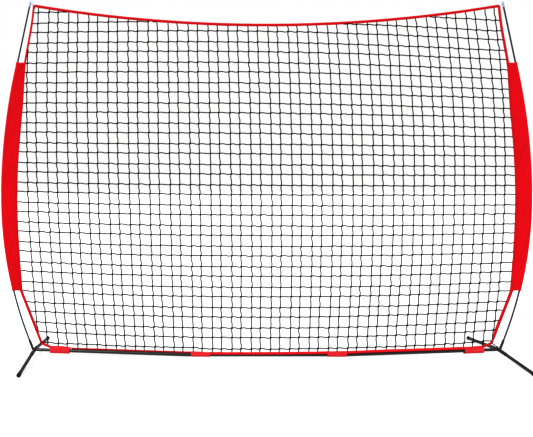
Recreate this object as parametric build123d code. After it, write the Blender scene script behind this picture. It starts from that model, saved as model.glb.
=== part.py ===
from build123d import *
import os
from math import asin, atan2, cos, degrees, hypot, sin, sqrt, tan

# A free-standing bow-frame target net: a steel base that takes apart, two
# fibreglass bow poles, and a bound net held between them.
# Millimetres. +X is to the right, -Y is the throwing side, +Z is up.
# The origin is on the ground under the middle of the base.

# Base frame
hub_x = 1834.0
hub_z = 56.0
tube_radius = 12.7
tube_wall = 1.5
slide_gap = 0.1
center_tube_z = 15.7
joint_x = 640.0
seam_gap = 1.0

# Legs and the hub arms they plug into
arm_length = 95.0
arm_radius = 14.5
arm_overlap = 6.0
arm_web = 22.0
leg_start = 28.0
leg_end = 435.0
cap_start = 412.0
cap_end = 440.0
cap_radius = 15.0
cap_fillet = 3.0
foot_trim = 1.0
leg_button_at = 60.0

# Spigots that the outer base tubes slide over
spigot_bore_radius = 9.5
spigot_bore_start = 22.5
hub_spigot_length = 330.0
outer_tube_start = 136.0
hub_button_at = 304.0
coupler_arm = 80.0
coupler_button_inset = 45.0

# Snap buttons
button_radius = 4.0
button_hole_radius = 4.3
button_flange_radius = 5.2
button_flange_thickness = 1.4
button_proud = 3.4
button_fillet = 1.6
spring_width = 7.0
spring_thickness = 0.8
spring_length = 30.0
spring_overlap = 6.0
spring_seat = 2.0

# Bow poles
rod_radius = 5.5
belly_x = 2089.0
belly_z = 1260.0
low_radius = 3080.0
high_radius = 4750.0
foot_z = 72.0
bend_start_z = 135.0
bend_end_z = 2250.0
rod_top_z = 2800.0
socket_radius = 9.0
socket_bore_radius = 5.7
socket_below_foot = 22.0
socket_length = 62.0
pole_end_gap = 0.5
ferrule_length = 90.0
ferrule_inner_radius = 5.65
ferrule_outer_radius = 7.2
section_gap = 1.0
tip_radius = 7.6
tip_length = 46.0
tip_cover = 8.0
tip_groove_radius = 6.0
tip_groove_height = 5.0
tip_fillet = 3.0

# Net, bindings and side sleeves
net_thickness = 1.0
binding_thickness = 3.0
binding_width = 18.0
net_gap = 0.4
net_corner_x = 1847.0
net_corner_z = 2786.0
top_sag = 154.0
net_foot_x = 1786.0
net_foot_z = 100.0
net_turn_x = 1712.0
foot_mitre = 0.68
net_above_tube = 15.7
side_kink = (1949.0, 515.0)
side_curve = [(1979.0, 921.0), (1989.0, 1238.0), (1968.0, 1712.0), (1938.0, 2044.0),
              (1919.0, 2313.0), (1886.0, 2503.0), (1860.0, 2661.0)]
sleeve_low_z = 522.0
sleeve_high_z = 2325.0
sleeve_thickness = 2.0
sleeve_inner_radius = 8.0
sleeve_outer_radius = 9.2

# Tabs round the base tube, corner loops and corner bungees
tab_centers = {"outer_left": -1634.0, "inner_left": -522.0, "inner_right": 553.0, "outer_right": 1636.0}
tab_length = 156.0
tab_inner_radius = 13.1
tab_outer_radius = 15.2
loop_height = 9.0
loop_thickness = 2.8
loop_gap = 0.3
loop_reach = 16.0
loop_above_rod = 2.0
loop_lap = 0.8
bungee_radius = 2.0
bungee_from_corner = (5.0, 4.0)
bungee_above_eye = 1.0
eye_wire = 2.0
eye_radius = 6.0
eye_inset = 10.0
eye_sink = 1.0

# Cutting bodies, each larger than what it cuts
cut_depth = 20.0
cut_reach = 40.0
ground_block = (100.0, 300.0, 50.0)
sleeve_cut_x = 1800.0
zone_far_x = 2300.0
zone_deep = [(1600.0, 300.0), (1700.0, 2500.0)]

# Slopes worked out from the driving dimensions
tube_slope = atan2(hub_z - center_tube_z, hub_x - joint_x)
leg_slope = asin((hub_z + foot_trim) / hypot(cap_end, cap_radius)) - atan2(cap_radius, cap_end)
tube_inner_radius = tube_radius - tube_wall
spigot_radius = tube_inner_radius - slide_gap
low_lean = asin((belly_z - bend_start_z) / low_radius)
high_lean = asin((bend_end_z - belly_z) / high_radius)
bend_start_x = belly_x - low_radius * (1 - cos(low_lean))
bend_end_x = belly_x - high_radius * (1 - cos(high_lean))
foot_run = (bend_start_z - foot_z) / cos(low_lean)
low_run = low_radius * low_lean
high_run = high_radius * high_lean
top_run = (rod_top_z - bend_end_z) / cos(high_lean)
pole_length = foot_run + low_run + high_run + top_run
outer_tube_end = (hub_x - joint_x) / cos(tube_slope)


# Local frames: local Z runs outward along the piece, local Y faces its button
leg_frame = Plane(origin=(hub_x, 0, hub_z), x_dir=(1, 0, 0),
                  z_dir=(0, -cos(leg_slope), -sin(leg_slope)))
tube_frame = Plane(origin=(hub_x, 0, hub_z), x_dir=(-sin(tube_slope), 0, cos(tube_slope)),
                   z_dir=(-cos(tube_slope), 0, -sin(tube_slope)))
coupler_frame = Plane(origin=(joint_x, 0, center_tube_z),
                      x_dir=(sin(tube_slope), 0, -cos(tube_slope)),
                      z_dir=(cos(tube_slope), 0, sin(tube_slope)))
center_frame = Plane(origin=(joint_x, 0, center_tube_z), x_dir=(0, 0, 1), z_dir=(-1, 0, 0))


def rod(radius, start, end):
    """A solid round bar on local Z."""
    return Pos(0, 0, (start + end) / 2) * Cylinder(radius, end - start)


def tube(outer, inner, start, end):
    """A round tube on local Z."""
    return rod(outer, start, end) - rod(inner, start - 1, end + 1)


def button_hole(at, reach):
    """The round cut that a snap button stands in, towards local +Y."""
    return Pos(0, reach / 2, at) * Rot(90, 0, 0) * Cylinder(button_hole_radius, reach)


def flange_seat(wall):
    """How far from its tube's axis a button's flat flange meets the round inner wall."""
    return sqrt(wall ** 2 - button_flange_radius ** 2) - slide_gap


def snap_button(at, wall, surface):
    """A button with a domed head, whose flange bears on the inside of its tube."""
    flange_top = flange_seat(wall)
    top = surface + button_proud
    flange = Cylinder(button_flange_radius, button_flange_thickness)
    flange = Pos(0, 0, -button_flange_thickness / 2) * flange
    pin = rod(button_radius, 0, top - flange_top)
    pin = fillet(pin.edges().group_by(Axis.Z)[-1], button_fillet)
    return Pos(0, flange_top, at) * Rot(-90, 0, 0) * (pin + flange)


def button_spring(at, wall, way):
    """A folded strip under a snap button, pressed against the far wall of its tube."""
    top = flange_seat(wall) - button_flange_thickness - spring_thickness / 2 - slide_gap
    bottom = spring_seat - wall
    bend = (top - bottom) / 2
    fold = at + way * spring_length
    start = at - way * spring_overlap
    upper = Line((0, top, start), (0, top, fold))
    turn = ThreePointArc((0, top, fold), (0, top - bend, fold + way * bend), (0, bottom, fold))
    lower = Line((0, bottom, fold), (0, bottom, at))
    section = Plane(origin=(0, top, start), x_dir=(1, 0, 0), z_dir=(0, 0, way))
    return sweep(section * Rectangle(spring_width, spring_thickness), path=Wire([upper, turn, lower]))


def both_sides(name, right):
    """Write a piece and its mirror image as the right and left of a pair."""
    write(name + "_right", right)
    write(name + "_left", mirror(right, about=Plane.YZ))


def write(name, solid):
    """Write one node."""
    export_step(solid, "parts/" + name + ".step")


# ---------------------------------------------------------------- bow poles
def pole_point(length):
    """A point of the right pole's axis, at a length along it from its foot."""
    if length <= foot_run:
        back = foot_run - length
        return Vector(bend_start_x - back * sin(low_lean), 0, bend_start_z - back * cos(low_lean))
    length -= foot_run
    if length <= low_run:
        turn = low_lean - length / low_radius
        return Vector(belly_x - low_radius * (1 - cos(turn)), 0, belly_z - low_radius * sin(turn))
    length -= low_run
    if length <= high_run:
        turn = length / high_radius
        return Vector(belly_x - high_radius * (1 - cos(turn)), 0, belly_z + high_radius * sin(turn))
    length -= high_run
    return Vector(bend_end_x - length * sin(high_lean), 0, bend_end_z + length * cos(high_lean))


def pole_length_at(z):
    """The length along the pole's axis, from its foot, at a height on its two arcs."""
    if z <= belly_z:
        return foot_run + low_radius * (low_lean - asin((belly_z - z) / low_radius))
    return foot_run + low_run + high_radius * asin((z - belly_z) / high_radius)


def pole_path(start, end):
    """The pole's axis between two lengths, as straight runs and tangent arcs."""
    joints = [foot_run, foot_run + low_run, foot_run + low_run + high_run]
    stops = [start] + [joint for joint in joints if start < joint < end] + [end]
    edges = []
    for first, last in zip(stops, stops[1:]):
        middle = (first + last) / 2
        if middle < foot_run or middle > foot_run + low_run + high_run:
            edges.append(Line(pole_point(first), pole_point(last)))
        else:
            edges.append(ThreePointArc(pole_point(first), pole_point(middle), pole_point(last)))
    return Wire(edges)


def pole_frame(length):
    """The plane across the pole's axis at a length along it."""
    ahead = pole_point(length + 0.01) - pole_point(length - 0.01)
    return Plane(origin=pole_point(length), x_dir=(0, 1, 0), z_dir=ahead)


def along_pole(start, end, outer, inner=0.0):
    """A rod or a tube that follows the pole's axis."""
    ring = Circle(outer)
    if inner:
        ring = ring - Circle(inner)
    return sweep(pole_frame(start) * ring, path=pole_path(start, end))


section_length = pole_length / 3


def pole_section(index):
    """One of the three rods of a bow pole."""
    start = index * section_length + (section_gap / 2 if index else 0)
    end = (index + 1) * section_length - (section_gap / 2 if index < 2 else 0)
    return along_pole(start, end, rod_radius)


def pole_ferrule(index):
    """The steel tube that joins two rods."""
    middle = index * section_length
    return along_pole(middle - ferrule_length / 2, middle + ferrule_length / 2,
                      ferrule_outer_radius, ferrule_inner_radius)


def pole_tip():
    """The plastic cap on a pole, with a groove for the net's corner loop."""
    plane = pole_frame(pole_length - tip_length + tip_cover)
    body = rod(tip_radius, 0, tip_length)
    body = fillet(body.edges().group_by(Axis.Z)[-1], tip_fillet)
    body -= rod(rod_radius + slide_gap, -1, tip_length - tip_cover)
    groove_start = tip_length - tip_cover + 1
    groove_ring = tube(tip_radius + 1, tip_groove_radius, groove_start, groove_start + tip_groove_height)
    return plane * (body - groove_ring)


# --------------------------------------------------------------- base frame
def hub():
    """Welded corner: two leg arms, the base tube's spigot, the pole socket and an eye."""
    arm = leg_frame * rod(arm_radius, -arm_overlap, arm_length)
    bore = leg_frame * rod(tube_radius + slide_gap, arm_web, arm_length + 1)
    hole = leg_frame * button_hole(leg_button_at, arm_radius + 2)
    spigot = tube_frame * rod(spigot_radius, 0, hub_spigot_length)
    spigot_bore = tube_frame * rod(spigot_bore_radius, spigot_bore_start, hub_spigot_length + 1)
    spigot_hole = tube_frame * button_hole(hub_button_at, spigot_radius + 2)
    socket_frame = pole_frame(0)
    socket = socket_frame * rod(socket_radius, -socket_below_foot, socket_length)
    socket_bore = socket_frame * rod(socket_bore_radius, -pole_end_gap, socket_length + 1)
    eye_at = Vector(hub_x - eye_inset, 0, hub_z + arm_radius + eye_radius - eye_sink)
    eye = Plane(origin=eye_at, x_dir=(1, 0, 0), z_dir=(0, 1, 0)) * Torus(eye_radius, eye_wire)
    solid = arm + mirror(arm, about=Plane.XZ) + spigot + socket + eye
    for cut in (bore, mirror(bore, about=Plane.XZ), hole, mirror(hole, about=Plane.XZ)):
        solid -= cut
    solid -= socket_bore
    solid -= spigot_bore
    solid -= spigot_hole
    return solid


def outer_base_tube():
    """The sloping tube from the hub down to the middle tube."""
    body = tube(tube_radius, tube_inner_radius, outer_tube_start, outer_tube_end - seam_gap)
    body -= button_hole(hub_button_at, tube_radius + 2)
    body -= button_hole(outer_tube_end - coupler_button_inset, tube_radius + 2)
    return tube_frame * body


def center_base_tube():
    """The middle tube, level and just off the ground."""
    length = 2 * (joint_x - seam_gap)
    ring = Cylinder(tube_radius, length) - Cylinder(tube_inner_radius, length + 2)
    return Pos(0, 0, center_tube_z) * Rot(0, 90, 0) * ring


def base_coupler():
    """The bent spigot fixed in the middle tube, which the sloping tube slides over."""
    knee = Pos(joint_x, 0, center_tube_z)
    outer = knee * Sphere(spigot_radius)
    outer += coupler_frame * rod(spigot_radius, 0, coupler_arm)
    outer += center_frame * rod(spigot_radius, 0, coupler_arm)
    inner = knee * Sphere(spigot_bore_radius)
    inner += coupler_frame * rod(spigot_bore_radius, 0, coupler_arm + 1)
    inner += center_frame * rod(spigot_bore_radius, 0, coupler_arm + 1)
    hole = coupler_frame * button_hole(coupler_button_inset, spigot_radius + 2)
    return outer - inner - hole


# --------------------------------------------------------------------- legs
def leg():
    """The right front leg tube, which plugs into its hub arm."""
    body = tube(tube_radius, tube_inner_radius, leg_start, leg_end)
    return leg_frame * (body - button_hole(leg_button_at, tube_radius + 2))


def leg_cap():
    """The plastic end cap of a leg, flat where it stands on the ground."""
    body = rod(cap_radius, cap_start, cap_end)
    body = fillet(body.edges().group_by(Axis.Z)[-1], cap_fillet)
    body -= rod(tube_radius + 0.05, cap_start - 1, leg_end + 0.2)
    below_ground = Pos(hub_x, -cap_end, -ground_block[2] / 2) * Box(*ground_block)
    return leg_frame * body - below_ground


def write_legs():
    """Write each leg with its cap, button and spring, in mirrored pairs front and rear."""
    pieces = {"leg": leg(), "leg_cap": leg_cap(),
              "leg_button": leg_frame * snap_button(leg_button_at, tube_inner_radius, arm_radius),
              "leg_spring": leg_frame * button_spring(leg_button_at, tube_inner_radius, 1)}
    for name, front in pieces.items():
        both_sides(name + "_front", front)
        both_sides(name + "_rear", mirror(front, about=Plane.XZ))


# ---------------------------------------------------------- net and bindings
def bound_edge(inset):
    """The net's outline, drawn in by an inset, as a face in the XZ plane."""
    tube_rise = (net_turn_x - joint_x) * tan(tube_slope)
    low_z = center_tube_z + net_above_tube + inset
    foot = (net_foot_x - foot_mitre * inset, net_foot_z + inset)
    turn = (net_turn_x, low_z + tube_rise)
    level = (joint_x, low_z)
    kink = (side_kink[0] - inset, side_kink[1])
    corner = (net_corner_x - inset, net_corner_z - inset)
    curve = [kink] + [(x - inset, z) for x, z in side_curve] + [corner]
    edges = [Line(place(level, -1), place(level, 1))]
    for side in (1, -1):
        edges.append(Line(place(level, side), place(turn, side)))
        edges.append(Line(place(turn, side), place(foot, side)))
        edges.append(Line(place(foot, side), place(kink, side)))
        edges.append(Spline([place(point, side) for point in curve]))
    edges.append(ThreePointArc(place(corner, -1), (0, 0, corner[1] - top_sag), place(corner, 1)))
    return Face(Wire(edges))


def place(point, side):
    """A point of the net's plane on the right or the left."""
    return Vector(side * point[0], 0, point[1])


def slab(face, thickness):
    """A flat sheet centred on the net's plane."""
    return extrude(face, amount=thickness / 2, both=True)


def side_zone():
    """The region that holds the right side binding, cut on the mitres of its corners."""
    inner_corner = (net_corner_x - binding_width, net_corner_z - binding_width)
    inner_foot = (net_foot_x - foot_mitre * binding_width, net_foot_z + binding_width)
    beyond = 3 * binding_width
    outline = [(net_corner_x + beyond, net_corner_z + beyond), (zone_far_x, net_corner_z + beyond),
               (zone_far_x, 0), (net_foot_x + foot_mitre * beyond, net_foot_z - beyond), inner_foot,
               *zone_deep, inner_corner]
    corners = [place(point, 1) for point in outline]
    return slab(Face(Wire(Polyline(*corners, close=True).edges())), cut_depth)


def side_sleeve(bound):
    """The fabric panel from the net's side binding to the pole, with the pole's pocket."""
    low = pole_length_at(sleeve_low_z)
    high = foot_run + low_run + high_run + (sleeve_high_z - bend_end_z) / cos(high_lean)
    middle = (sleeve_inner_radius + sleeve_outer_radius) / 2
    pocket = along_pole(low, high, sleeve_outer_radius, sleeve_inner_radius)
    edges = list(pole_path(low, high).edges())
    first = pole_point(low)
    last = pole_point(high)
    edges.append(Line(last, (sleeve_cut_x, 0, last.Z)))
    edges.append(Line((sleeve_cut_x, 0, last.Z), (sleeve_cut_x, 0, first.Z)))
    edges.append(Line((sleeve_cut_x, 0, first.Z), first))
    panel = slab(Face(Wire(edges)), sleeve_thickness)
    panel -= slab(bound, cut_depth).moved(Location((net_gap, 0, 0)))
    panel -= along_pole(low - cut_depth, high + cut_depth, middle)
    kept = max(panel.solids(), key=lambda solid: solid.volume)
    return kept + pocket


def base_tab(name, center):
    """A hook-and-loop tab wrapped round the base tube under the bottom binding."""
    ring = Cylinder(tab_outer_radius, tab_length) - Cylinder(tab_inner_radius, tab_length + 2)
    rise = max(abs(center) - joint_x, 0) * tan(tube_slope)
    lean = 0.0
    if abs(center) > joint_x:
        lean = -degrees(tube_slope) if center > 0 else degrees(tube_slope)
    write("base_tab_" + name, Pos(center, 0, center_tube_z + rise) * Rot(0, 90 + lean, 0) * ring)


def corner_loop():
    """The webbing loop from the net's top corner to the groove of the pole tip."""
    plane = pole_frame(pole_length)
    inner = tip_radius + loop_gap
    outer = inner + loop_thickness
    ring = tube(outer, inner, loop_above_rod - loop_height, loop_above_rod)
    tongue = Box(loop_reach, binding_thickness, 2 * loop_height,
                 align=(Align.MIN, Align.CENTER, Align.CENTER))
    tongue = Pos(net_corner_x + loop_gap, 0, net_corner_z + loop_height / 2) * tongue
    tongue -= plane * rod(outer - loop_lap, -cut_reach, cut_reach)
    return plane * ring + tongue


def corner_bungee():
    """The elastic cord from the net's bottom corner to the eye on the hub."""
    start = Vector(net_foot_x + bungee_from_corner[0], 0, net_foot_z - bungee_from_corner[1])
    end = Vector(hub_x - eye_inset - eye_radius, 0,
                 hub_z + arm_radius + 2 * eye_radius + bungee_above_eye)
    plane = Plane(origin=start, x_dir=(0, 1, 0), z_dir=end - start)
    return plane * rod(bungee_radius, 0, (end - start).length)


write_legs()
both_sides("hub", hub())
both_sides("base_tube", outer_base_tube())
both_sides("base_coupler", base_coupler())
write("base_tube_center", center_base_tube())

hub_button = tube_frame * snap_button(hub_button_at, spigot_bore_radius, tube_radius)
coupler_button = coupler_frame * snap_button(coupler_button_inset, spigot_bore_radius, tube_radius)
both_sides("hub_button", hub_button)
both_sides("coupler_button", coupler_button)
springs = [tube_frame * button_spring(hub_button_at, spigot_bore_radius, -1),
           coupler_frame * button_spring(coupler_button_inset, spigot_bore_radius, -1)]
springs += [mirror(spring, about=Plane.YZ) for spring in springs]
write("base_button_springs", Compound(springs))

for number, name in enumerate(("lower", "middle", "upper")):
    both_sides("pole_" + name, pole_section(number))
both_sides("pole_ferrule_lower", pole_ferrule(1))
both_sides("pole_ferrule_upper", pole_ferrule(2))
both_sides("pole_tip", pole_tip())

bound = bound_edge(0)
border = slab(bound, binding_thickness) - slab(bound_edge(binding_width), binding_thickness + 2)
right_zone = side_zone()
left_zone = mirror(right_zone, about=Plane.YZ)
both_sides("side_binding", border & right_zone)
across = (border - right_zone - left_zone).solids().sort_by(Axis.Z)
write("bottom_binding", across[0])
write("top_binding", across[-1])
write("net_panel", slab(bound_edge(binding_width + net_gap), net_thickness))
both_sides("side_sleeve", side_sleeve(bound))
for name, center in tab_centers.items():
    base_tab(name, center)
both_sides("corner_loop", corner_loop())
both_sides("corner_bungee", corner_bungee())
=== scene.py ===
"""The looks of the pitching target net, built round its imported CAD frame. Metres.

+X is to the right, -Y is the throwing side and +Z is up. The net hangs in the plane y = 0.
"""

import math

import bpy
import numpy as np
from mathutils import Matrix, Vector
from mathutils.bvhtree import BVHTree


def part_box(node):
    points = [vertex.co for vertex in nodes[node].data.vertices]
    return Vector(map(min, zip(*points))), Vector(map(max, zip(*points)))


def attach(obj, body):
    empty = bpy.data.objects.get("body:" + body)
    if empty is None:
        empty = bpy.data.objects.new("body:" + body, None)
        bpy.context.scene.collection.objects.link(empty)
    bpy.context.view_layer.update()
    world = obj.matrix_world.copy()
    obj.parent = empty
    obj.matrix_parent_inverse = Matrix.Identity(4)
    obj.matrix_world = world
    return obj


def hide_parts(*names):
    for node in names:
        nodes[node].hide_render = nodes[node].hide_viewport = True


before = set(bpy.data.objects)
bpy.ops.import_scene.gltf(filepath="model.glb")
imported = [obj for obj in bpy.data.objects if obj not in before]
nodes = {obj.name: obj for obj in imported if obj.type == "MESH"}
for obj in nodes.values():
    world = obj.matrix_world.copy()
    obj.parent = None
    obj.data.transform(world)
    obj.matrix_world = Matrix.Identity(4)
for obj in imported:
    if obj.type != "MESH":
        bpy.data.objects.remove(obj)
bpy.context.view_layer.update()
MM = 0.001

# ------------------------------------------------------------------ driving sizes
STRAND_RADIUS = 3.7 * MM
STRAND_SIDES = 6
STRAND_STEPS = 6
STRAND_SWING = 2.3 * MM
NODE_SHIFT = 1.3 * MM
COLUMNS = 48
ROWS = 34
BINDING_STEP = 12 * MM
POLE_SLACK = 9.2 * MM
SLEEVE_TUCK = 6 * MM
SLEEVE_CLOTH = 0.7 * MM
TUBE_RADIUS = 12.7 * MM
TAB_CLOTH = 1.5 * MM
TAB_HALF_WIDTH = 78 * MM
TAB_DROP = {"outer_left": 1.5, "inner_left": 1.0, "inner_right": 1.0, "outer_right": 9.0}
TAB_TAPER = {"outer_left": 0.02, "inner_left": 0.07, "inner_right": 0.05, "outer_right": 0.01}
FLAP_TURNS = np.linspace(2.0, 2.95, 9)
STITCH_STEP = 5.2 * MM
STITCH_HEIGHT = 0.45 * MM
STITCH_WIDTH = 0.5 * MM
SEAM_SHARE = 0.84
POCKET_SEAM = 22 * MM
ARM_RADIUS = 14.5 * MM
HUB_HEIGHT = 56 * MM
HUB_JOINTS = [((17.5 * MM, 16.0 * MM), (0.3653, 0.9309), 9.0 * MM),
              ((0.0, 0.0), (-0.9994, -0.0337), 11.1 * MM)]


# ------------------------------------------------------------------ camera, light, floor
def make_camera():
    """The camera stands left of the middle and looks straight at the net, with its film shifted."""
    data = bpy.data.cameras.new("camera")
    data.sensor_width = 36
    data.lens = 35.93
    data.shift_x = 0.1707
    data.shift_y = -0.0816
    camera = bpy.data.objects.new("camera", data)
    camera.location = (-0.720, -4.207, 1.436)
    camera.rotation_euler = (math.radians(90), 0, 0)
    bpy.context.scene.collection.objects.link(camera)
    bpy.context.scene.camera = camera


def make_light():
    """An even white room and a soft sun from the upper left in front."""
    world = bpy.data.worlds.new("white_room")
    world.use_nodes = True
    world.node_tree.nodes["Background"].inputs["Color"].default_value = (1, 1, 1, 1)
    world.node_tree.nodes["Background"].inputs["Strength"].default_value = 1.0
    bpy.context.scene.world = world
    bpy.context.scene.view_settings.view_transform = "Standard"
    bpy.context.scene.view_settings.gamma = 0.58
    sun = bpy.data.lights.new("soft_sun", "SUN")
    sun.energy = 3.2
    sun.angle = math.radians(24)
    holder = bpy.data.objects.new("soft_sun", sun)
    holder.rotation_euler = (math.radians(38), math.radians(-24), 0)
    bpy.context.scene.collection.objects.link(holder)


def make_floor():
    """A plain pale floor, far wider than the net."""
    mesh = bpy.data.meshes.new("floor")
    far = 40.0
    corners = [(-far, -far, 0), (far, -far, 0), (far, far, 0), (-far, far, 0)]
    mesh.from_pydata(corners, [], [(0, 1, 2, 3)])
    floor = bpy.data.objects.new("floor", mesh)
    bpy.context.scene.collection.objects.link(floor)
    finish = Finish("floor_white", (0.30, 0.30, 0.30), 0.9, specular=0.0)
    finish.vary((0.29, 0.29, 0.29), (0.31, 0.31, 0.31), finish.noise(3.0))
    finish.shader.inputs["Emission Color"].default_value = (1, 1, 1, 1)
    finish.shader.inputs["Emission Strength"].default_value = 0.74
    mesh.materials.append(finish.material)


# ------------------------------------------------------------------ materials
class Finish:
    """A procedural material: a principled shader with patterns for its colour, gloss and bump."""

    def __init__(self, name, color, roughness, metallic=0.0, specular=0.5, coat=0.0, sheen=0.0):
        self.material = bpy.data.materials.new(name)
        self.material.use_nodes = True
        self.tree = self.material.node_tree
        self.shader = self.tree.nodes["Principled BSDF"]
        self.shader.inputs["Base Color"].default_value = (*color, 1)
        self.shader.inputs["Roughness"].default_value = roughness
        self.shader.inputs["Metallic"].default_value = metallic
        self.shader.inputs["Specular IOR Level"].default_value = specular
        self.shader.inputs["Coat Weight"].default_value = coat
        self.shader.inputs["Coat Roughness"].default_value = 0.12
        self.shader.inputs["Sheen Weight"].default_value = sheen
        self.shader.inputs["Sheen Roughness"].default_value = 0.45

    def add(self, kind, **settings):
        """A node, with its inputs set by name and its links made where a socket is given."""
        node = self.tree.nodes.new(kind)
        for name, value in settings.items():
            if hasattr(node, name):
                setattr(node, name, value)
            else:
                self.join(value, node.inputs[name])
        return node

    def join(self, value, socket):
        if isinstance(value, bpy.types.NodeSocket):
            self.tree.links.new(value, socket)
        else:
            socket.default_value = value

    def place(self, stretch=(1, 1, 1), turn=(0, 0, 0)):
        """The object's own coordinates, turned and stretched."""
        coordinates = self.add("ShaderNodeTexCoord")
        mapping = self.add("ShaderNodeMapping", Vector=coordinates.outputs["Object"])
        mapping.inputs["Rotation"].default_value = turn
        mapping.inputs["Scale"].default_value = stretch
        return mapping.outputs["Vector"]

    def noise(self, scale, detail=4.0, stretch=(1, 1, 1)):
        node = self.add("ShaderNodeTexNoise", Vector=self.place(stretch), Scale=scale, Detail=detail)
        return node.outputs["Fac"]

    def ridges(self, pitch, axis, turn=(0, 0, 0), distortion=0.0):
        """Parallel ridges a pitch apart across an axis."""
        node = self.add("ShaderNodeTexWave", Vector=self.place(turn=turn))
        node.wave_type = "BANDS"
        node.bands_direction = axis
        node.inputs["Scale"].default_value = math.pi / (10 * pitch)
        node.inputs["Distortion"].default_value = distortion
        return node.outputs["Fac"]

    def mix(self, kind, first, second):
        node = self.add("ShaderNodeMath", operation=kind)
        self.join(first, node.inputs[0])
        self.join(second, node.inputs[1])
        return node.outputs["Value"]

    def weave(self, pitch, first="X", second="Z"):
        """Threads that pass over and under each other."""
        return self.mix("MAXIMUM", self.ridges(pitch, first), self.ridges(pitch, second))

    def vary(self, dark, light, pattern):
        """Colour that drifts between two tones with a pattern."""
        node = self.add("ShaderNodeMix", data_type="RGBA")
        self.join(pattern, node.inputs["Factor"])
        self.join((*dark, 1), node.inputs[6])
        self.join((*light, 1), node.inputs[7])
        self.tree.links.new(node.outputs[2], self.shader.inputs["Base Color"])

    def polish(self, low, high, pattern):
        """Roughness that drifts between two values with a pattern."""
        node = self.add("ShaderNodeMapRange", Value=pattern)
        node.inputs["To Min"].default_value = low
        node.inputs["To Max"].default_value = high
        self.tree.links.new(node.outputs["Result"], self.shader.inputs["Roughness"])

    def bump(self, pattern, height, strength=1.0):
        """Relief of a height in metres, added to any that is there."""
        node = self.add("ShaderNodeBump", Height=pattern, Strength=strength, Distance=height)
        before = self.shader.inputs["Normal"].links
        if before:
            self.tree.links.new(before[0].from_socket, node.inputs["Normal"])
        self.tree.links.new(node.outputs["Normal"], self.shader.inputs["Normal"])


def powder_coat():
    """Black powder coat on steel, with orange peel and faint rub marks."""
    finish = Finish("black_powder_coat", (0.02, 0.02, 0.022), 0.34, specular=0.7)
    rubs = finish.noise(14, 6, (1, 0.35, 1))
    finish.vary((0.010, 0.010, 0.011), (0.030, 0.030, 0.031), rubs)
    finish.polish(0.30, 0.40, finish.noise(60, 3))
    finish.bump(finish.noise(650, 2), 0.12 * MM, 0.5)
    return finish.material


def fibreglass():
    """Dark slate fibreglass rod, with long fibres under a clear skin."""
    finish = Finish("fibreglass_slate", (0.014, 0.028, 0.042), 0.30, specular=0.35, coat=0.25)
    fibres = finish.noise(900, 3, (1, 1, 0.02))
    finish.vary((0.009, 0.018, 0.028), (0.022, 0.044, 0.068), fibres)
    finish.bump(fibres, 0.05 * MM, 0.4)
    return finish.material


def bare_steel(name, tone, roughness):
    """Plated steel with fine scratches along its length."""
    finish = Finish(name, tone, roughness, metallic=1.0)
    scratches = finish.noise(700, 4, (0.12, 1, 1))
    finish.vary(tuple(0.8 * c for c in tone), tone, scratches)
    finish.polish(roughness - 0.08, roughness + 0.1, scratches)
    finish.bump(scratches, 0.03 * MM, 0.4)
    return finish.material


def moulded(name, dark, light, roughness):
    """Moulded plastic with a fine spark-eroded grain."""
    finish = Finish(name, light, roughness, specular=0.4)
    finish.vary(dark, light, finish.noise(35, 5))
    finish.polish(roughness - 0.06, roughness + 0.08, finish.noise(90, 3))
    finish.bump(finish.noise(1500, 2), 0.08 * MM, 0.5)
    return finish.material


def twisted_cord(name, dark, light, pitch):
    """Laid cord: slanting plies with fuzz on them."""
    finish = Finish(name, dark, 0.9, specular=0.06)
    plies = finish.ridges(pitch, "X", (0, math.radians(45), 0), 0.4)
    finish.vary(dark, light, plies)
    finish.bump(plies, 0.5 * MM, 0.8)
    finish.bump(finish.noise(2600, 3), 0.15 * MM, 0.5)
    return finish.material


def webbing(name, dark, light, pitch):
    """Woven tape with a slight sheen and worn tone."""
    finish = Finish(name, light, 0.72, specular=0.18, sheen=0.12)
    weave = finish.weave(pitch)
    drift = finish.noise(9, 5)
    finish.vary(dark, light, finish.mix("MULTIPLY", finish.mix("ADD", weave, drift), 0.6))
    finish.bump(weave, 0.25 * MM, 0.7)
    finish.bump(finish.noise(120, 4), 0.4 * MM, 0.25)
    return finish.material


def sleeve_cloth():
    """Coated polyester cloth: a fine weave, a soft sheen and long shallow rumples."""
    finish = Finish("sleeve_red", (0.49, 0.0045, 0.0160), 0.6, specular=0.14, sheen=0.02)
    weave = finish.weave(0.55 * MM)
    drift = finish.noise(5.5, 6, (1, 1, 0.5))
    finish.vary((0.44, 0.0035, 0.0140), (0.56, 0.0065, 0.0220), drift)
    finish.polish(0.48, 0.62, finish.noise(40, 4))
    finish.bump(weave, 0.10 * MM, 0.6)
    finish.bump(finish.noise(22, 4, (1, 1, 0.45)), 2.2 * MM, 0.35)
    return finish.material


def tab_pile():
    """Hook-and-loop tape: short matted pile on a woven ground."""
    finish = Finish("tab_red", (0.54, 0.028, 0.040), 0.85, specular=0.1, sheen=0.2)
    pile = finish.noise(1400, 5)
    finish.vary((0.46, 0.026, 0.036), (0.60, 0.062, 0.078), finish.noise(60, 6))
    finish.bump(pile, 0.5 * MM, 0.8)
    finish.bump(finish.noise(45, 3), 1.2 * MM, 0.3)
    return finish.material


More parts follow.
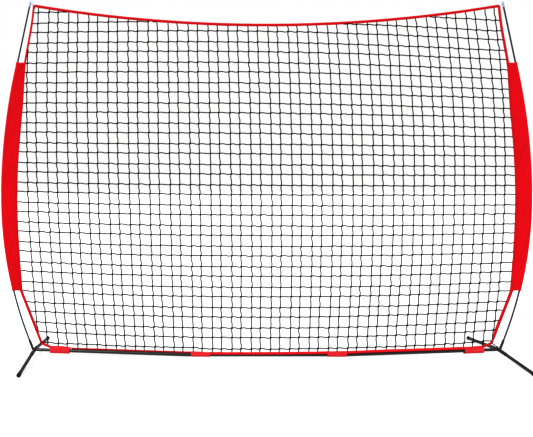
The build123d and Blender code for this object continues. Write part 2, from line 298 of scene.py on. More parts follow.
def make_materials():
    """Every finish by the record's slot, with a few that only small pieces use."""
    return {
        "frame_steel": powder_coat(),
        "ferrule_steel": bare_steel("ferrule_zinc", (0.52, 0.53, 0.55), 0.34),
        "button_steel": bare_steel("button_nickel", (0.62, 0.60, 0.57), 0.24),
        "spring_steel": bare_steel("spring_blue", (0.25, 0.26, 0.30), 0.30),
        "fibreglass": fibreglass(),
        "tip_plastic": moulded("tip_grey", (0.27, 0.32, 0.41), (0.37, 0.43, 0.53), 0.42),
        "cap_plastic": moulded("cap_black", (0.008, 0.008, 0.009), (0.020, 0.020, 0.021), 0.55),
        "net_cord": twisted_cord("net_black", (0.004, 0.004, 0.005), (0.012, 0.012, 0.013),
                                 2.6 * MM),
        "binding": webbing("binding_crimson", (0.37, 0.0010, 0.0090), (0.50, 0.0030, 0.0140),
                           1.1 * MM),
        # painted light: a brighter, lit copy of the binding red, painted on the bottom tape where the
        # light falls on it
        "lit_binding": webbing("binding_painted_lit", (0.40, 0.0060, 0.0130), (0.56, 0.0160, 0.0260),
                               1.1 * MM),
        "sleeve_fabric": sleeve_cloth(),
        "tab_webbing": tab_pile(),
        "loop_webbing": webbing("loop_pale", (0.40, 0.42, 0.45), (0.54, 0.56, 0.59), 0.9 * MM),
        "bungee": webbing("bungee_black", (0.006, 0.006, 0.007), (0.020, 0.020, 0.022), 0.8 * MM),
        "eyelet_red": moulded("eyelet_red", (0.30, 0.002, 0.008), (0.44, 0.004, 0.014), 0.4),
        "thread": twisted_cord("thread_red", (0.30, 0.001, 0.008), (0.45, 0.004, 0.014), 0.5 * MM),
    }


# ------------------------------------------------------------------ mesh helpers
def piece(name, points, faces, slot, finish=None):
    """A named mesh that rides on the base, with the finish of a material slot."""
    mesh = bpy.data.meshes.new(name)
    mesh.from_pydata([tuple(p) for p in points], [], [tuple(f) for f in faces])
    mesh.validate()
    mesh.update()
    mesh.polygons.foreach_set("use_smooth", [True] * len(mesh.polygons))
    mesh.materials.append(materials[finish or slot])
    made = bpy.data.objects.new(name, mesh)
    bpy.context.scene.collection.objects.link(made)
    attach(made, "root")
    return made


class Heap:
    """Points and faces of many small solids, gathered into one piece."""

    def __init__(self):
        self.points = []
        self.faces = []

    def add(self, points, faces):
        base = len(self.points)
        self.points.extend(points)
        self.faces.extend([base + i for i in face] for face in faces)

    def rings(self, rings, closed=False):
        """A skin over a run of rings with as many points each, capped unless it closes on itself."""
        count, sides = len(rings), len(rings[0])
        faces = []
        for k in range(count if closed else count - 1):
            low, high = k * sides, (k + 1) % count * sides
            for i in range(sides):
                j = (i + 1) % sides
                faces.append((low + i, high + i, high + j, low + j))
        if not closed:
            last = (count - 1) * sides
            faces.append(tuple(range(sides)))
            faces.append(tuple(last + i for i in reversed(range(sides))))
        self.add(np.concatenate(rings), faces)


def unit(vectors):
    return vectors / np.linalg.norm(vectors, axis=-1, keepdims=True)


def rings_round(line, ahead, radius, sides, across):
    """Rings round a line, each in the plane across it. across is any direction off the line."""
    first = unit(np.cross(ahead, np.asarray(across, float)))
    second = np.cross(ahead, first)
    turn = np.arange(sides) * 2 * math.pi / sides
    radius = np.broadcast_to(np.asarray(radius, float), (len(line),))[:, None, None]
    spokes = (first[:, None] * np.cos(turn)[None, :, None]
              + second[:, None] * np.sin(turn)[None, :, None])
    return list(line[:, None] + spokes * radius)


def tube_rings(line, radius, sides):
    """Rings round an open line that doesn't run along the y axis."""
    line = np.asarray(line, float)
    return rings_round(line, unit(np.gradient(line, axis=0)), radius, sides, (0, 1, 0))


def loop_rings(line, radius, sides, across):
    """Rings round a closed line."""
    line = np.asarray(line, float)
    ahead = unit(np.roll(line, -1, 0) - np.roll(line, 1, 0))
    return rings_round(line, ahead, radius, sides, across)


def distances(line):
    """How far along a line each of its points is."""
    return np.concatenate([[0], np.cumsum(np.linalg.norm(np.diff(line, axis=0), axis=1))])


def along_line(line, run, wanted):
    """Points at the wanted places of a line, where run is each of its points' place."""
    return np.stack([np.interp(wanted, run, line[:, k]) for k in range(3)], -1)


def facing(face, count):
    """Normals that all point to the front (-1) or the back (1)."""
    return np.tile((0.0, float(face), 0.0), (count, 1))


def side_name(side):
    return "right" if side > 0 else "left"


def shell(heap, grid, thickness, wrap=False):
    """A sheet of cloth with both faces and a rim, from the points of its middle surface.

    grid is rows x columns x 3. With wrap, each row closes on itself.
    """
    grid = np.asarray(grid, float)
    rows, columns = grid.shape[:2]
    if wrap:
        along = np.roll(grid, -1, 1) - np.roll(grid, 1, 1)
    else:
        along = np.gradient(grid, axis=1)
    normal = unit(np.cross(along, np.gradient(grid, axis=0)))
    half = np.broadcast_to(np.asarray(thickness, float).reshape(-1, 1, 1) / 2, (rows, 1, 1))
    front = (grid + normal * half).reshape(-1, 3)
    back = (grid - normal * half).reshape(-1, 3)
    size = rows * columns
    spans = columns if wrap else columns - 1
    faces = []
    for r in range(rows - 1):
        for c in range(spans):
            d = (c + 1) % columns
            a, b = r * columns + c, r * columns + d
            e, f = b + columns, a + columns
            faces.append((a, b, e, f))
            faces.append((size + f, size + e, size + b, size + a))
    for c in range(spans):
        d = (c + 1) % columns
        faces.append((c, size + c, size + d, d))
        top = (rows - 1) * columns
        faces.append((top + d, size + top + d, size + top + c, top + c))
    if not wrap:
        for r in range(rows - 1):
            a, b = r * columns, (r + 1) * columns
            faces.append((b, size + b, size + a, a))
            c, d = a + columns - 1, b + columns - 1
            faces.append((c, size + c, size + d, d))
    heap.add(np.concatenate([front, back]), faces)


def stitches(heap, points, normals, length=3.6 * MM):
    """Dashes of thread along a seam: points are spaced a stitch apart."""
    points = np.asarray(points, float)
    normals = unit(np.asarray(normals, float))
    ahead = unit(np.gradient(points, axis=0))
    side = unit(np.cross(ahead, normals))
    faces = [(0, 2, 3), (0, 3, 4), (0, 4, 5), (0, 5, 2),
             (1, 3, 2), (1, 4, 3), (1, 5, 4), (1, 2, 5)]
    height, width = STITCH_HEIGHT, STITCH_WIDTH
    for p, n, a, s in zip(points, normals, ahead, side):
        ends = [p - a * length / 2 - n * 0.2 * MM, p + a * length / 2 - n * 0.2 * MM]
        ring = [p + n * height, p + s * width, p - n * height, p - s * width]
        heap.add(ends + ring, faces)


def ripple(seed, waves, longest, shortest):
    """A smooth random function of one number, about -1 to 1, from a few sines."""
    draw = np.random.default_rng(seed)
    lengths = np.exp(draw.uniform(math.log(shortest), math.log(longest), waves))
    phases = draw.uniform(0, 2 * math.pi, waves)
    weights = draw.uniform(0.5, 1, waves)
    weights = weights / weights.sum()

    def value(at):
        at = np.asarray(at, float)[..., None]
        return (weights * np.sin(2 * math.pi * at / lengths + phases)).sum(-1) * 1.6

    return value


def smooth_step(value, start, end):
    t = np.clip((np.asarray(value, float) - start) / (end - start), 0, 1)
    return t * t * (3 - 2 * t)


# ------------------------------------------------------------------ lines read from the frame
def surface_of(*names):
    """The surface of some CAD nodes, for finding where a line meets it."""
    points, faces = [], []
    for name in names:
        base = len(points)
        points += [v.co.copy() for v in nodes[name].data.vertices]
        faces += [[base + i for i in p.vertices] for p in nodes[name].data.polygons]
    return BVHTree.FromPolygons(points, faces)


def sampled(surface, starts, direction, axis):
    """Where parallel lines first meet a surface, as one coordinate of each meeting point."""
    found = []
    for start in starts:
        place = surface.ray_cast(Vector(start), Vector(direction))[0]
        found.append(np.nan if place is None else place[axis])
    return np.array(found)


class Outline:
    """The bound edge of the net, the same on the left and the right."""

    def __init__(self):
        edge = surface_of("top_binding", "bottom_binding", "side_binding_left", "side_binding_right")
        low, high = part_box("side_binding_right")
        near = 0.05 * MM
        off = 0.3 * MM
        self.heights = np.linspace(low.z + near, high.z - near, 500)
        starts = [(3, off, z) for z in self.heights]
        self.sides = sampled(edge, starts, (-1, 0, 0), 0)
        self.foot_z, self.corner_z = low.z, high.z
        self.foot_x = float(self.sides[0])
        self.corner_x = float(self.sides[-1])
        self.across = np.linspace(0.2 * MM, self.corner_x - near, 500)
        self.tops = sampled(edge, [(x, off, 4) for x in self.across], (0, 0, -1), 2)
        self.lows = sampled(edge, [(x, off, -1) for x in self.across], (0, 0, 1), 2)

    def side_x(self, z):
        return np.interp(z, self.heights, self.sides)

    def top_z(self, x):
        return np.interp(np.abs(x), self.across, self.tops)

    def low_z(self, x):
        return np.interp(np.abs(x), self.across, self.lows)

    def inside(self, x, z, inset):
        """How far inside the edge, drawn in by an inset, a point is. It is below zero outside."""
        low = self.low_z(x) - settled(x)
        return np.minimum.reduce([self.side_x(z) - np.abs(x), self.top_z(x) - z, z - low]) - inset


def pole_line():
    """The right pole's axis as x at a height, and the point at its top end."""
    rods = surface_of("pole_lower_right", "pole_middle_right", "pole_upper_right")
    low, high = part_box("pole_lower_right")[0].z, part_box("pole_upper_right")[1].z
    heights = np.linspace(low + 6 * MM, high - 3 * MM, 500)
    outer = sampled(rods, [(3, 0.2 * MM, z) for z in heights], (-1, 0, 0), 0)
    inner = sampled(rods, [(1.5, 0.2 * MM, z) for z in heights], (1, 0, 0), 0)
    middle = (outer + inner) / 2
    kept = np.isfinite(middle)
    slope = np.polyfit(heights[kept][-40:], middle[kept][-40:], 1)
    return heights[kept], middle[kept], np.array([np.polyval(slope, high), 0, high])


# ------------------------------------------------------------------ the net's own hang
def crossed(x):
    """The bottom tape crosses over the base tube, from behind it to its front, inside a tab: 0 to 1."""
    return smooth_step(x, -0.565, -0.465)


def slipped(x):
    """Where the bottom tape has slipped down behind the base tube, left of the middle: 0 to 1."""
    return smooth_step(x, -1.62, -1.52) * (1 - crossed(x))


def fronted(x):
    """Where the bottom tape lies on the front of the base tube, right of the middle: 0 to 1."""
    return crossed(x) * (1 - smooth_step(x, 1.58, 1.68))


def sunk(x, behind, before):
    """How far the tape hangs below the top of the base tube, behind or before it."""
    return (13.5 * behind + before * (11.5 - 10.5 * smooth_step(x, -0.1, 0.95))) * MM


def settled(x):
    """How far the tape's fold has sunk: only where it is clear of the tube. It bunches over the tube."""
    return sunk(x, smooth_step(slipped(x), 0.78, 1.0), smooth_step(fronted(x), 0.78, 1.0))


def tape_place(x):
    """How far behind the net's plane the base tube holds the bottom tape. In front is below 0."""
    return (15.8 * slipped(x) - 15.6 * fronted(x)) * MM


def hang(points):
    """Carries points near the bottom edge behind or before the base tube, and adds the slack."""
    points = np.array(points, float)
    x, z = points[..., 0], points[..., 2]
    near = np.clip(1 - (z - outline.low_z(x) + settled(x)) / (160 * MM), 0, 1)
    points[..., 1] += tape_place(x) * near
    belly = np.clip(outline.inside(x, z, 0.0) / 0.5, 0, 1)
    points[..., 1] += 5 * MM * belly * billow_x(x) * billow_z(z)
    return points


def column_x(i, z):
    """A column's place at a height: pitches narrow towards the top and bottom, and alternate."""
    pitch = 0.08057 - 0.001833 * (z - 1.633) ** 2
    middle = -0.0126 * (z - 1.0) ** 2
    return middle + pitch * (i - (COLUMNS - 1) / 2) + np.where(np.asarray(i) % 2, -3.4, 3.4) * MM


def row_z(j, x):
    """A row's height at a place across: pitches narrow towards the sides, and alternate."""
    pitch = 0.08083 - 0.000948 * (x + 0.328) ** 2
    lift = 9.5 * MM * np.abs(x / 1.85) ** 3
    return 1.358 - 0.0065 * x + lift - pitch * (j - 17) + np.where(np.asarray(j) % 2, -2.95, 2.95) * MM


def mesh_nodes():
    """Where each column and row cross, with a small seeded shift, and one more ring outside."""
    i, j = np.meshgrid(np.arange(-2, COLUMNS + 2), np.arange(-2, ROWS + 2), indexing="ij")
    x = (i - (COLUMNS - 1) / 2) * 0.0805
    z = 1.358 - (j - 17) * 0.0805
    for _ in range(6):
        x, z = column_x(i, z), row_z(j, x)
    draw = np.random.default_rng(7)
    shift = draw.normal(0, NODE_SHIFT * 0.7, (2, *x.shape))
    return x + shift[0], z + shift[1]


def room_in(x, z):
    """How far a place is from where a strand ends, just under the tape's inner edge."""
    return outline.inside(x, z, 0.92 * binding_width(x, z))


def clipped(line):
    """The stretches of a line that lie inside the bound edge, cut exactly on it."""
    room = room_in(line[:, 0], line[:, 2])
    runs, run = [], []
    for k in range(len(line)):
        if k and (room[k] > 0) != (room[k - 1] > 0):
            share = room[k - 1] / (room[k - 1] - room[k])
            run.append(line[k - 1] + share * (line[k] - line[k - 1]))
            if room[k] <= 0:
                runs.append(run)
                run = []
        if room[k] > 0:
            run.append(line[k])
    if run:
        runs.append(run)
    return [np.array(r) for r in runs if len(r) > 2]


def strand(knots, swing, sway):
    """The line of one strand through its knots, with an S between each two."""
    line = []
    share = np.arange(STRAND_STEPS) / STRAND_STEPS
    for k in range(len(knots) - 1):
        start, end = knots[k], knots[k + 1]
        along = start + (end - start) * share[:, None]
        side = np.array([-(end - start)[2], 0, (end - start)[0]])
        side /= np.linalg.norm(side)
        curl = np.sin(2 * math.pi * share)[:, None] * side * swing[k]
        line.extend(along + curl + np.sin(math.pi * share)[:, None] * np.array([0, sway[k], 0]))
    line.append(knots[-1])
    return np.array(line)


def cord_rings(run):
    """A strand's rings along its run. The tape pinches both ends within a few millimetres."""
    near = []
    for k, step in ((0, 1), (-1, -1)):
        gap = run[k + step] - run[k]
        near.append(run[k] + unit(gap) * min(4 * MM, 0.6 * np.linalg.norm(gap)))
    run = np.concatenate([run[:1], near[:1], run[1:-1], near[1:], run[-1:]])
    radius = np.full(len(run), STRAND_RADIUS)
    radius[[0, -1]] *= 0.45
    return tube_rings(hang(run), radius, STRAND_SIDES)


def make_net():
    """Columns and rows of laid cord, with a knot of two locked bights at each crossing."""
    x, z = mesh_nodes()
    knots = np.stack([x, np.zeros_like(x), z], -1)
    draw = np.random.default_rng(11)
    columns, rows = Heap(), Heap()
    for i in range(2, COLUMNS + 2):
        count = knots.shape[1]
        swing = -STRAND_SWING * draw.uniform(0.3, 1.6, count)
        line = strand(knots[i], swing, draw.normal(0, 0.7 * MM, count))
        for run in clipped(line):
            columns.rings(cord_rings(run))
    for j in range(2, ROWS + 2):
        count = knots.shape[0]
        swing = STRAND_SWING * draw.uniform(0.3, 1.6, count)
        line = strand(knots[:, j], swing, draw.normal(0, 0.7 * MM, count))
        for run in clipped(line):
            rows.rings(cord_rings(run))
    lumps = {"left": Heap(), "right": Heap()}
    for place in knots[2:-2, 2:-2].reshape(-1, 3):
        turn = draw.uniform(-0.3, 0.3)
        if room_in(place[0], place[2]) > 1 * MM:
            knot(lumps[side_name(place[0])], hang(place), turn)
    made = piece("net_columns", columns.points, columns.faces, "net_cord")
    piece("net_rows", rows.points, rows.faces, "net_cord")
    for side, heap in lumps.items():
        piece("net_knots_" + side, heap.points, heap.faces, "net_cord")
    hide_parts("net_panel")


def knot(heap, place, turn):
    """Two bights locked through each other, each a small tilted ring."""
    around = np.arange(9) * 2 * math.pi / 9
    for way in (1, -1):
        angle = way * math.radians(40) + turn
        long_way = np.array([math.cos(angle), 0, math.sin(angle)])
        short_way = np.array([-math.sin(angle) * 0.8, 0.6 * way, math.cos(angle) * 0.8])
        ring = place + 5.2 * MM * np.cos(around)[:, None] * long_way
        ring = ring + 4.2 * MM * np.sin(around)[:, None] * short_way
        heap.rings(loop_rings(ring, 3.1 * MM, 5, np.cross(long_way, short_way)), closed=True)


# ------------------------------------------------------------------ bindings
def outline_points():
    """The net's outline, clockwise from the top left corner, with the corners' indices."""
    def spaced(first, last):
        return np.linspace(first, last, max(3, int(abs(last - first) / BINDING_STEP) + 1))

    across = spaced(-outline.corner_x, outline.corner_x)
    down = spaced(outline.corner_z, outline.foot_z)
    back = spaced(outline.foot_x, -outline.foot_x)
    top = np.stack([across, outline.top_z(across)], -1)
    right = np.stack([outline.side_x(down), down], -1)
    bottom = np.stack([back, outline.low_z(back)], -1)
    left = np.stack([-outline.side_x(down[::-1]), down[::-1]], -1)
    bottom[0], bottom[-1] = right[-1], left[0]
    top[0], top[-1] = left[-1], right[0]
    runs = [top[:-1], right[:-1], bottom[:-1], left[:-1]]
    starts = np.cumsum([0] + [len(run) for run in runs])
    return np.concatenate(runs), starts


def binding_width(x, z):
    """The visible width of the folded tape at a place on the edge."""
    height = smooth_step(z, 0.4, 2.4)
    side = np.where(x < 0, 20 - 5.5 * height, 24 - 5 * height)
    bunched = (settled(x) - sunk(x, slipped(x), fronted(x))) / MM
    level = np.where(z > 1.4, 20.0, 17.5 + 2.0 * fronted(x) + bunched)
    on_side = smooth_step(np.abs(x), 1.79, 1.84) * (z < 2.75) * (z > 0.11)
    return (side * on_side + level * (1 - on_side)) * MM


def tape_section():
    """Half the section of a folded tape: (share of the width from the fold, half thickness)."""
    return [(1.0, 0.5), (1.0, 1.5), (0.97, 1.75), (0.84, 1.8), (0.80, 1.95), (0.55, 2.4),
            (0.30, 2.5), (0.12, 2.1), (0.03, 1.3), (0.0, 0.3)]


def make_bindings():
    """The four folded tapes round the net, each cut on the mitres of its corners."""
    edge, starts = outline_points()
    ahead = unit(np.roll(edge, -1, 0) - edge)
    normal_after = np.stack([ahead[:, 1], -ahead[:, 0]], -1)
    normal_before = np.roll(normal_after, 1, 0)
    mitre = (normal_after + normal_before) / (1 + (normal_after * normal_before).sum(-1))[:, None]
    width = binding_width(edge[:, 0], edge[:, 1])
    along = distances(edge)
    wave_y = ripple(3, 9, 0.9, 0.07)
    wave_width = ripple(4, 8, 0.5, 0.06)
    wave_fat = ripple(5, 8, 0.4, 0.05)
    width = width * (1 + 0.05 * wave_width(along))
    half = tape_section()
    section = half + [(f, -t) for f, t in reversed(half)] + [(0.93, 0.0)]
    fat = 1 + 0.12 * wave_fat(along)
    rings = np.zeros((len(edge), len(section), 3))
    for k, (share, thick) in enumerate(section):
        rings[:, k, 0] = edge[:, 0] + mitre[:, 0] * width * share
        rings[:, k, 2] = edge[:, 1] + mitre[:, 1] * width * share
        rings[:, k, 1] = -thick * MM * fat + 0.9 * MM * wave_y(along)
    names = ["top_binding", "side_binding_right", "bottom_binding", "side_binding_left"]
    total = len(edge)
    rings[..., 2] -= np.where(edge[:, 1] < outline.foot_z, settled(edge[:, 0]), 0)[:, None]
    for name, start, end in zip(names, starts, starts[1:]):
        heap = Heap()
        chosen = [hang(rings[k % total]) for k in range(start, end + 1)]
        heap.rings(chosen)
        # the bottom tape wears the painted lit copy of the binding red; the other tapes wear the plain
        # binding red
        made = piece(name + "_tape", heap.points, heap.faces, "binding",
                     "lit_binding" if name == "bottom_binding" else None)
        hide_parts(name)
        seam = Heap()
        sew_tape(seam, edge, mitre, width, fat, wave_y(along), range(start + 1, end), total)
        piece(name + "_stitches", seam.points, seam.faces, "binding", "thread")


def sew_tape(seam, edge, mitre, width, fat, wave, chosen, total):
    """The lock stitch near the tape's inner edge, on both faces."""
    index = np.array([k % total for k in chosen])
    steps = max(2, int(len(index) * BINDING_STEP / STITCH_STEP))
    fine = np.linspace(0, len(index) - 1, steps)
    for face in (-1, 1):
        line = edge[index] + mitre[index] * (width[index] * SEAM_SHARE)[:, None]
        line[:, 1] -= np.where(edge[index, 1] < outline.foot_z, settled(edge[index, 0]), 0)
        y = face * 1.95 * MM * fat[index] + 0.9 * MM * wave[index]
        line = np.stack([line[:, 0], y, line[:, 1]], -1)
        points = along_line(line, np.arange(len(index)), fine)
        stitches(seam, hang(points), facing(face, steps))


# ------------------------------------------------------------------ side sleeves
def sleeve_creases(seed):
    """Soft slanting creases that the pole's pull draws in the cloth, as height over (share, z)."""
    draw = np.random.default_rng(seed)
    count = 22
    across = draw.uniform(0.15, 0.85, count)
    middle = np.stack([across, np.linspace(0.50, 2.33, count) + draw.normal(0, 0.03, count)], -1)
    slant = draw.uniform(1.0, 3.2, count) * np.where(draw.random(count) < 0.72, 1, -1)
    reach = draw.uniform(0.08, 0.22, count)
    broad = draw.uniform(0.006, 0.016, count)
    depth = draw.uniform(1.2, 3.6, count) * np.where(draw.random(count) < 0.5, 1, -1) * MM

    def height(share, z):
        total = np.zeros(np.broadcast(share, z).shape)
        for (s, centre), tilt, length, wide, deep in zip(middle, slant, reach, broad, depth):
            run = z - centre
            off = (share - s) * 0.13 - run / tilt
            total += deep * np.exp(-(off / wide) ** 2) * np.exp(-(run / length) ** 2)
        return total * np.sin(math.pi * np.clip(share, 0, 1)) ** 0.6

    return height


def make_sleeve(side, seed):
    """The red cloth from the net's edge to the pole and round it, hemmed at both ends."""
    name = side_name(side)
    low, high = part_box("side_sleeve_" + name)
    low_z, high_z = low.z, high.z
    heights = np.linspace(0, 1, 170)
    layer = np.linspace(0, 1, 30)
    turn = np.linspace(-math.pi / 2, math.pi / 2, 13)[1:-1]
    crease = sleeve_creases(seed)
    sag = ripple(seed + 1, 5, 0.12, 0.04)
    grid = []
    for level in heights:
        flat_z = low_z + (high_z - low_z) * level
        axis = np.interp(flat_z, pole_z, pole_x)
        inner = outline.side_x(flat_z) - SLEEVE_TUCK
        reach = axis - inner
        share = np.concatenate([layer, np.ones(len(turn)), layer[::-1]])
        x = inner + reach * share
        y = POLE_SLACK * share + 0.9 * MM * (1 - share)
        face = np.concatenate([-np.ones(len(layer)), np.zeros(len(turn)), np.ones(len(layer))])
        y = face * y
        x[len(layer):-len(layer)] = axis + POLE_SLACK * np.cos(turn)
        y[len(layer):-len(layer)] = POLE_SLACK * np.sin(turn)
        bowl = 4 * share * (1 - share)
        ends = smooth_step(level, 0.97, 1.0) - smooth_step(level, 0.03, 0.0)
        z = flat_z - ends * 4.5 * MM * bowl + np.where(level < 0.5, 1, 0) * 2.5 * MM * sag(x) * bowl
        y = y + np.where(face != 0, crease(share, np.full(len(share), flat_z)), 0)
        grid.append(np.stack([side * x, y, z], -1))
    grid = np.array(grid)
    if side < 0:
        grid = grid[:, ::-1]
    hem = np.maximum(1 - smooth_step(heights, 0.006, 0.011), smooth_step(heights, 0.989, 0.994))
    heap = Heap()
    shell(heap, grid, SLEEVE_CLOTH + 1.3 * MM * hem, wrap=True)
    made = piece("side_sleeve_" + name + "_cloth", heap.points, heap.faces, "sleeve_fabric")
    seam = Heap()
    sew_sleeve(seam, grid, heights, side)
    sewn = piece("side_sleeve_" + name + "_stitches", seam.points, seam.faces, "sleeve_fabric", "thread")
    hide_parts("side_sleeve_" + name)


def sew_sleeve(seam, grid, heights, side):
    """Hem stitches round both ends and the pocket's seam beside the pole, on both faces."""
    columns = grid.shape[1]
    for level in (0.0085, 0.9915):
        row = np.array([along_line(grid[:, c], heights, level) for c in range(columns)])
        run = distances(row)
        fine = np.arange(3 * MM, run[-1] - 2 * MM, STITCH_STEP)
        points = along_line(row, run, fine)
        normals = np.stack([np.zeros(len(fine)), np.sign(points[:, 1]), np.zeros(len(fine))], -1)
        stitches(seam, points + normals * 0.9 * MM, normals)
    length = distances(grid[:, 0])
    fine = np.arange(12 * MM, length[-1] - 12 * MM, STITCH_STEP)
    for face in (-1, 1):
        line = []
        for row in grid:
            chosen = row[row[:, 1] * face > 0]
            order = np.argsort(chosen[:, 0] * side)
            edge = (row[:, 0] * side).max() - POCKET_SEAM
            xs = chosen[order, 0] * side
            line.append([side * edge, np.interp(edge, xs, chosen[order, 1]),
                         np.interp(edge, xs, chosen[order, 2])])
        points = along_line(np.array(line), length, fine)
        normal = facing(face, len(fine))
        stitches(seam, points + normal * SLEEVE_CLOTH / 2, normal)


# ------------------------------------------------------------------ tabs, loops, bungees
def make_tab(name, seed):
    """A loose hook-and-loop tab from the bottom tape, down round the base tube and up behind it."""
    low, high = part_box("base_tab_" + name)
    middle = (low + high) / 2
    rise = (outline.low_z(middle.x + 0.03) - outline.low_z(middle.x - 0.03)) / 0.06
    along = unit(np.array([1.0, 0, rise]))
    up = np.array([-along[2], 0, along[0]])
    half = TAB_HALF_WIDTH
    room = min(8.5 * MM, middle.z - TUBE_RADIUS - TAB_CLOTH - 0.6 * MM)
    spread = TUBE_RADIUS + 2.4 * MM
    below = TUBE_RADIUS + TAB_CLOTH / 2 + max(room, 0.3 * MM)
    gap = 3.9 * MM
    wave = ripple(seed, 7, 0.09, 0.02)
    pucker = ripple(seed + 1, 6, 0.05, 0.015)
    grid, columns = [], []
    for share in np.linspace(-1, 1, 40):
        x = middle.x + share * half
        behind, before = slipped(x), fronted(x)
        tape_y = tape_place(x)
        tape_top = outline.low_z(x) - settled(x) + binding_width(x, 0.0)
        top = tape_top - (middle.z + (x - middle.x) * rise) - TAB_DROP[name] * MM
        fore, aft = max(spread, gap - tape_y), max(spread, gap + tape_y)
        around = np.linspace(-0.3 - 1.05 * behind + 0.3 * before,
                             math.pi + 0.3 + 1.05 * before - 0.3 * behind, 28)
        deep = np.where(np.sin(around) > 0, below, spread)
        reach = np.where(np.cos(around) > 0, fore, aft)
        curve = np.stack([-np.cos(around) * reach, -deep * np.sin(around)], -1)
        front, back = np.array([tape_y - gap, top]), np.array([tape_y + gap, top])
        steps = np.array([[0.0], [0.3], [0.65]])
        profile = np.concatenate([front + (curve[0] - front) * steps, curve,
                                  (back + (curve[-1] - back) * steps)[::-1]])
        narrow = 1 - TAB_TAPER[name] * np.clip(-profile[:, 1] / below + 0.35, 0, 1.35)
        at = share * half * narrow
        base = np.array([middle.x, 0, middle.z])
        bulge = 1 + 0.03 * wave(share * half + 1) * np.sin(np.linspace(0, math.pi, len(profile)))
        points = base + at[:, None] * along + profile[:, 1:] * up
        points[:, 1] += profile[:, 0] * bulge + 0.5 * MM * pucker(at + 2)
        grid.append(points)
        columns.append(len(steps) + np.interp(FLAP_TURNS, around, np.arange(len(around))))
    grid = np.array(grid)
    rim = np.concatenate([[0.75], np.ones(38), [0.75]]) * TAB_CLOTH
    heap = Heap()
    shell(heap, grid, rim)
    made = piece("base_tab_" + name + "_tape", heap.points, heap.faces, "tab_webbing")
    seam = Heap()
    sew_tab(seam, grid)
    flap = tab_flap(name, grid, columns)
    sewn = piece("base_tab_" + name + "_stitches", seam.points, seam.faces, "tab_webbing", "thread")
    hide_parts("base_tab_" + name)


def tab_flap(name, grid, columns):
    """The tab's second layer, closed over the first on the back."""
    chosen = np.array([along_line(row, np.arange(len(row)), at) for row, at in zip(grid, columns)])
    ahead = np.gradient(chosen, axis=1)
    normal = unit(np.cross(ahead, np.gradient(chosen, axis=0)))
    sign = np.sign(normal[:, :, 1].mean())
    layer = chosen + sign * normal * (TAB_CLOTH + 0.25 * MM)
    heap = Heap()
    shell(heap, layer[2:-2], TAB_CLOTH * 0.9)
    return piece("base_tab_" + name + "_flap", heap.points, heap.faces, "tab_webbing")


def sew_tab(seam, grid):
    """Two rows of thread where the tab is sewn to the tape, front and back."""
    for column, face in ((0, -1), (1, -1), (-1, 1), (-2, 1)):
        row = grid[:, column] + np.array([0, 0, -1.6 * MM if column in (0, -1) else 0])
        run = distances(row)
        fine = np.arange(3 * MM, run[-1] - 3 * MM, STITCH_STEP)
        normal = facing(face, len(fine))
        stitches(seam, along_line(row, run, fine) + normal * 0.95 * MM, normal)


def make_corner_loop(side):
    """A narrow pale strap, from one face of the net's top corner round the pole tip to the other."""
    name = side_name(side)
    centre = np.array([side * pole_top[0], 0, pole_top[2] - 2.5 * MM])
    inner = side * (outline.corner_x - 13 * MM)
    radius = 8.9 * MM
    lap = 3.3 * MM
    turn = np.linspace(-math.pi / 2, math.pi / 2, 17)
    legs = np.linspace(0, 1, 9)[:-1]
    end = np.array([inner, 0, outline.corner_z - 9 * MM])
    near = [end + (centre - end) * s - np.array([0, lap + (radius - lap) * s, 0]) for s in legs]
    bend = [centre + radius * np.array([side * math.cos(t), math.sin(t), 0]) for t in turn]
    far = [end + (centre - end) * s + np.array([0, lap + (radius - lap) * s, 0]) for s in legs[::-1]]
    path = np.array(near + bend + far)
    width = 5.2 * MM
    grid = np.array([path + np.array([0, 0, h]) for h in np.linspace(-width, width, 6)])
    heap = Heap()
    shell(heap, grid, 1.1 * MM)
    made = piece("corner_loop_" + name + "_strap", heap.points, heap.faces, "loop_webbing")
    seam = Heap()
    for face in (-1, 1):
        for across in np.linspace(2.5, 9.5, 5) * MM:
            rungs = [(inner + side * across, face * lap, end[2] + h)
                     for h in (-2.5 * MM, 0, 2.5 * MM)]
            stitches(seam, np.array(rungs) + np.array([0, face * 0.75 * MM, 0]),
                     facing(face, 3), 2.2 * MM)
    piece("corner_loop_" + name + "_stitches", seam.points, seam.faces, "loop_webbing")
    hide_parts("corner_loop_" + name)


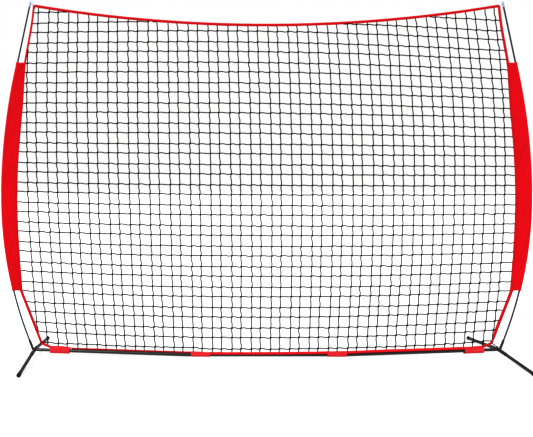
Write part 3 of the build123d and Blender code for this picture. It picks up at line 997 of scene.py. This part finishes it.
def make_bungee(side):
    """A doubled elastic cord from the eyelet in the net's bottom corner through the hub's eye."""
    name = side_name(side)
    low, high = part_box("corner_bungee_" + name)
    top = np.array([side * (outline.foot_x - 9 * MM), 0, outline.foot_z + 12 * MM])
    eye = np.array([side * max(abs(low.x), abs(high.x)), 0, low.z])
    eye = eye + np.array([side * 5.5 * MM, 0, -4 * MM])
    away = unit(eye - top)
    length = np.linalg.norm(eye - top)
    line = []
    for t in np.linspace(0, 1, 60, endpoint=False):
        angle = 2 * math.pi * t
        run = length / 2 * (1 - math.cos(angle))
        wide = (4.2 if math.cos(angle) > 0 else 3.4) * MM
        line.append(top + away * run + np.array([0, wide * math.sin(angle), 0]))
    heap = Heap()
    heap.rings(loop_rings(line, 2.3 * MM, 10, np.cross(away, (0, 1, 0))), closed=True)
    made = piece("corner_bungee_" + name + "_cord", heap.points, heap.faces, "bungee")
    wrap = Heap()
    for k in range(4):
        turn = np.linspace(0, 2 * math.pi, 18, endpoint=False)
        place = top + away * (length * 0.42 + k * 2.4 * MM)
        sideways = np.cross(away, (0, 1, 0))
        ring = place + 3.9 * MM * np.cos(turn)[:, None] * np.array([0, 1.25, 0])
        ring = ring + 2.6 * MM * np.sin(turn)[:, None] * sideways
        wrap.rings(loop_rings(ring, 1.1 * MM, 7, away), closed=True)
    piece("corner_bungee_" + name + "_whipping", wrap.points, wrap.faces, "bungee")
    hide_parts("corner_bungee_" + name)
    eyelet = Heap()
    turn = np.linspace(0, 2 * math.pi, 28, endpoint=False)
    for face in (-1, 1):
        ring = top + 4.6 * MM * np.stack([np.cos(turn), 0 * turn, np.sin(turn)], -1)
        ring[:, 1] += face * 2.3 * MM
        eyelet.rings(loop_rings(ring, 1.3 * MM, 9, (0, 1, 0)), closed=True)
    piece("corner_eyelet_" + name, eyelet.points, eyelet.faces, "button_steel", "eyelet_red")


# ------------------------------------------------------------------ weld beads
def make_welds(side):
    """Weld beads where the pole socket and the spigot meet the hub's arm."""
    name = side_name(side)
    low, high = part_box("leg_front_right")
    arm_line = np.array([(low.x + high.x) / 2, HUB_HEIGHT])
    heap = Heap()
    turn = np.linspace(0, 2 * math.pi, 96, endpoint=False)
    for offset, lean, radius in HUB_JOINTS:
        ahead = unit(np.array(lean))
        other = np.array([ahead[1], -ahead[0]])
        wide = radius + 0.4 * MM
        start = np.array(offset) + wide * np.cos(turn)[:, None] * other
        forward = start @ ahead
        reach = np.maximum(forward ** 2 - (start ** 2).sum(-1) + ARM_RADIUS ** 2, 0)
        flat = arm_line + start + (np.sqrt(reach) - forward + 0.4 * MM)[:, None] * ahead
        line = np.stack([side * flat[:, 0], wide * np.sin(turn), flat[:, 1]], -1)
        fat = (1.5 + 0.28 * np.abs(np.sin(turn * 13))) * MM
        heap.rings(loop_rings(line, fat, 8, (side * ahead[0], 0, ahead[1])), closed=True)
    piece("hub_" + name + "_welds", heap.points, heap.faces, "frame_steel")



# ------------------------------------------------------------------ the whole
CAD_FINISH = {"hub_button": "button_steel", "coupler_button": "button_steel",
              "leg_button": "button_steel", "leg_spring": "spring_steel",
              "base_button_springs": "spring_steel", "leg_cap": "cap_plastic",
              "pole_ferrule": "ferrule_steel", "pole_tip": "tip_plastic", "pole_": "fibreglass",
              "hub": "frame_steel", "base_tube": "frame_steel", "base_coupler": "frame_steel",
              "leg": "frame_steel"}


def dress_frame():
    """Gives each CAD node that shows its finish. The longest matching name decides."""
    for name, node in nodes.items():
        found = [key for key in CAD_FINISH if name.startswith(key)]
        if found:
            node.data.materials.clear()
            node.data.materials.append(materials[CAD_FINISH[max(found, key=len)]])


make_camera()
make_light()
make_floor()
materials = make_materials()
outline = Outline()
pole_z, pole_x, pole_top = pole_line()
billow_x = ripple(21, 4, 2.4, 0.9)
billow_z = ripple(22, 4, 2.2, 0.8)
dress_frame()
make_net()
make_bindings()
for number, tab in enumerate(("outer_left", "inner_left", "inner_right", "outer_right")):
    make_tab(tab, 40 + 5 * number)
for side in (1, -1):
    make_sleeve(side, 60 + side)
    make_corner_loop(side)
    make_bungee(side)
    make_welds(side)
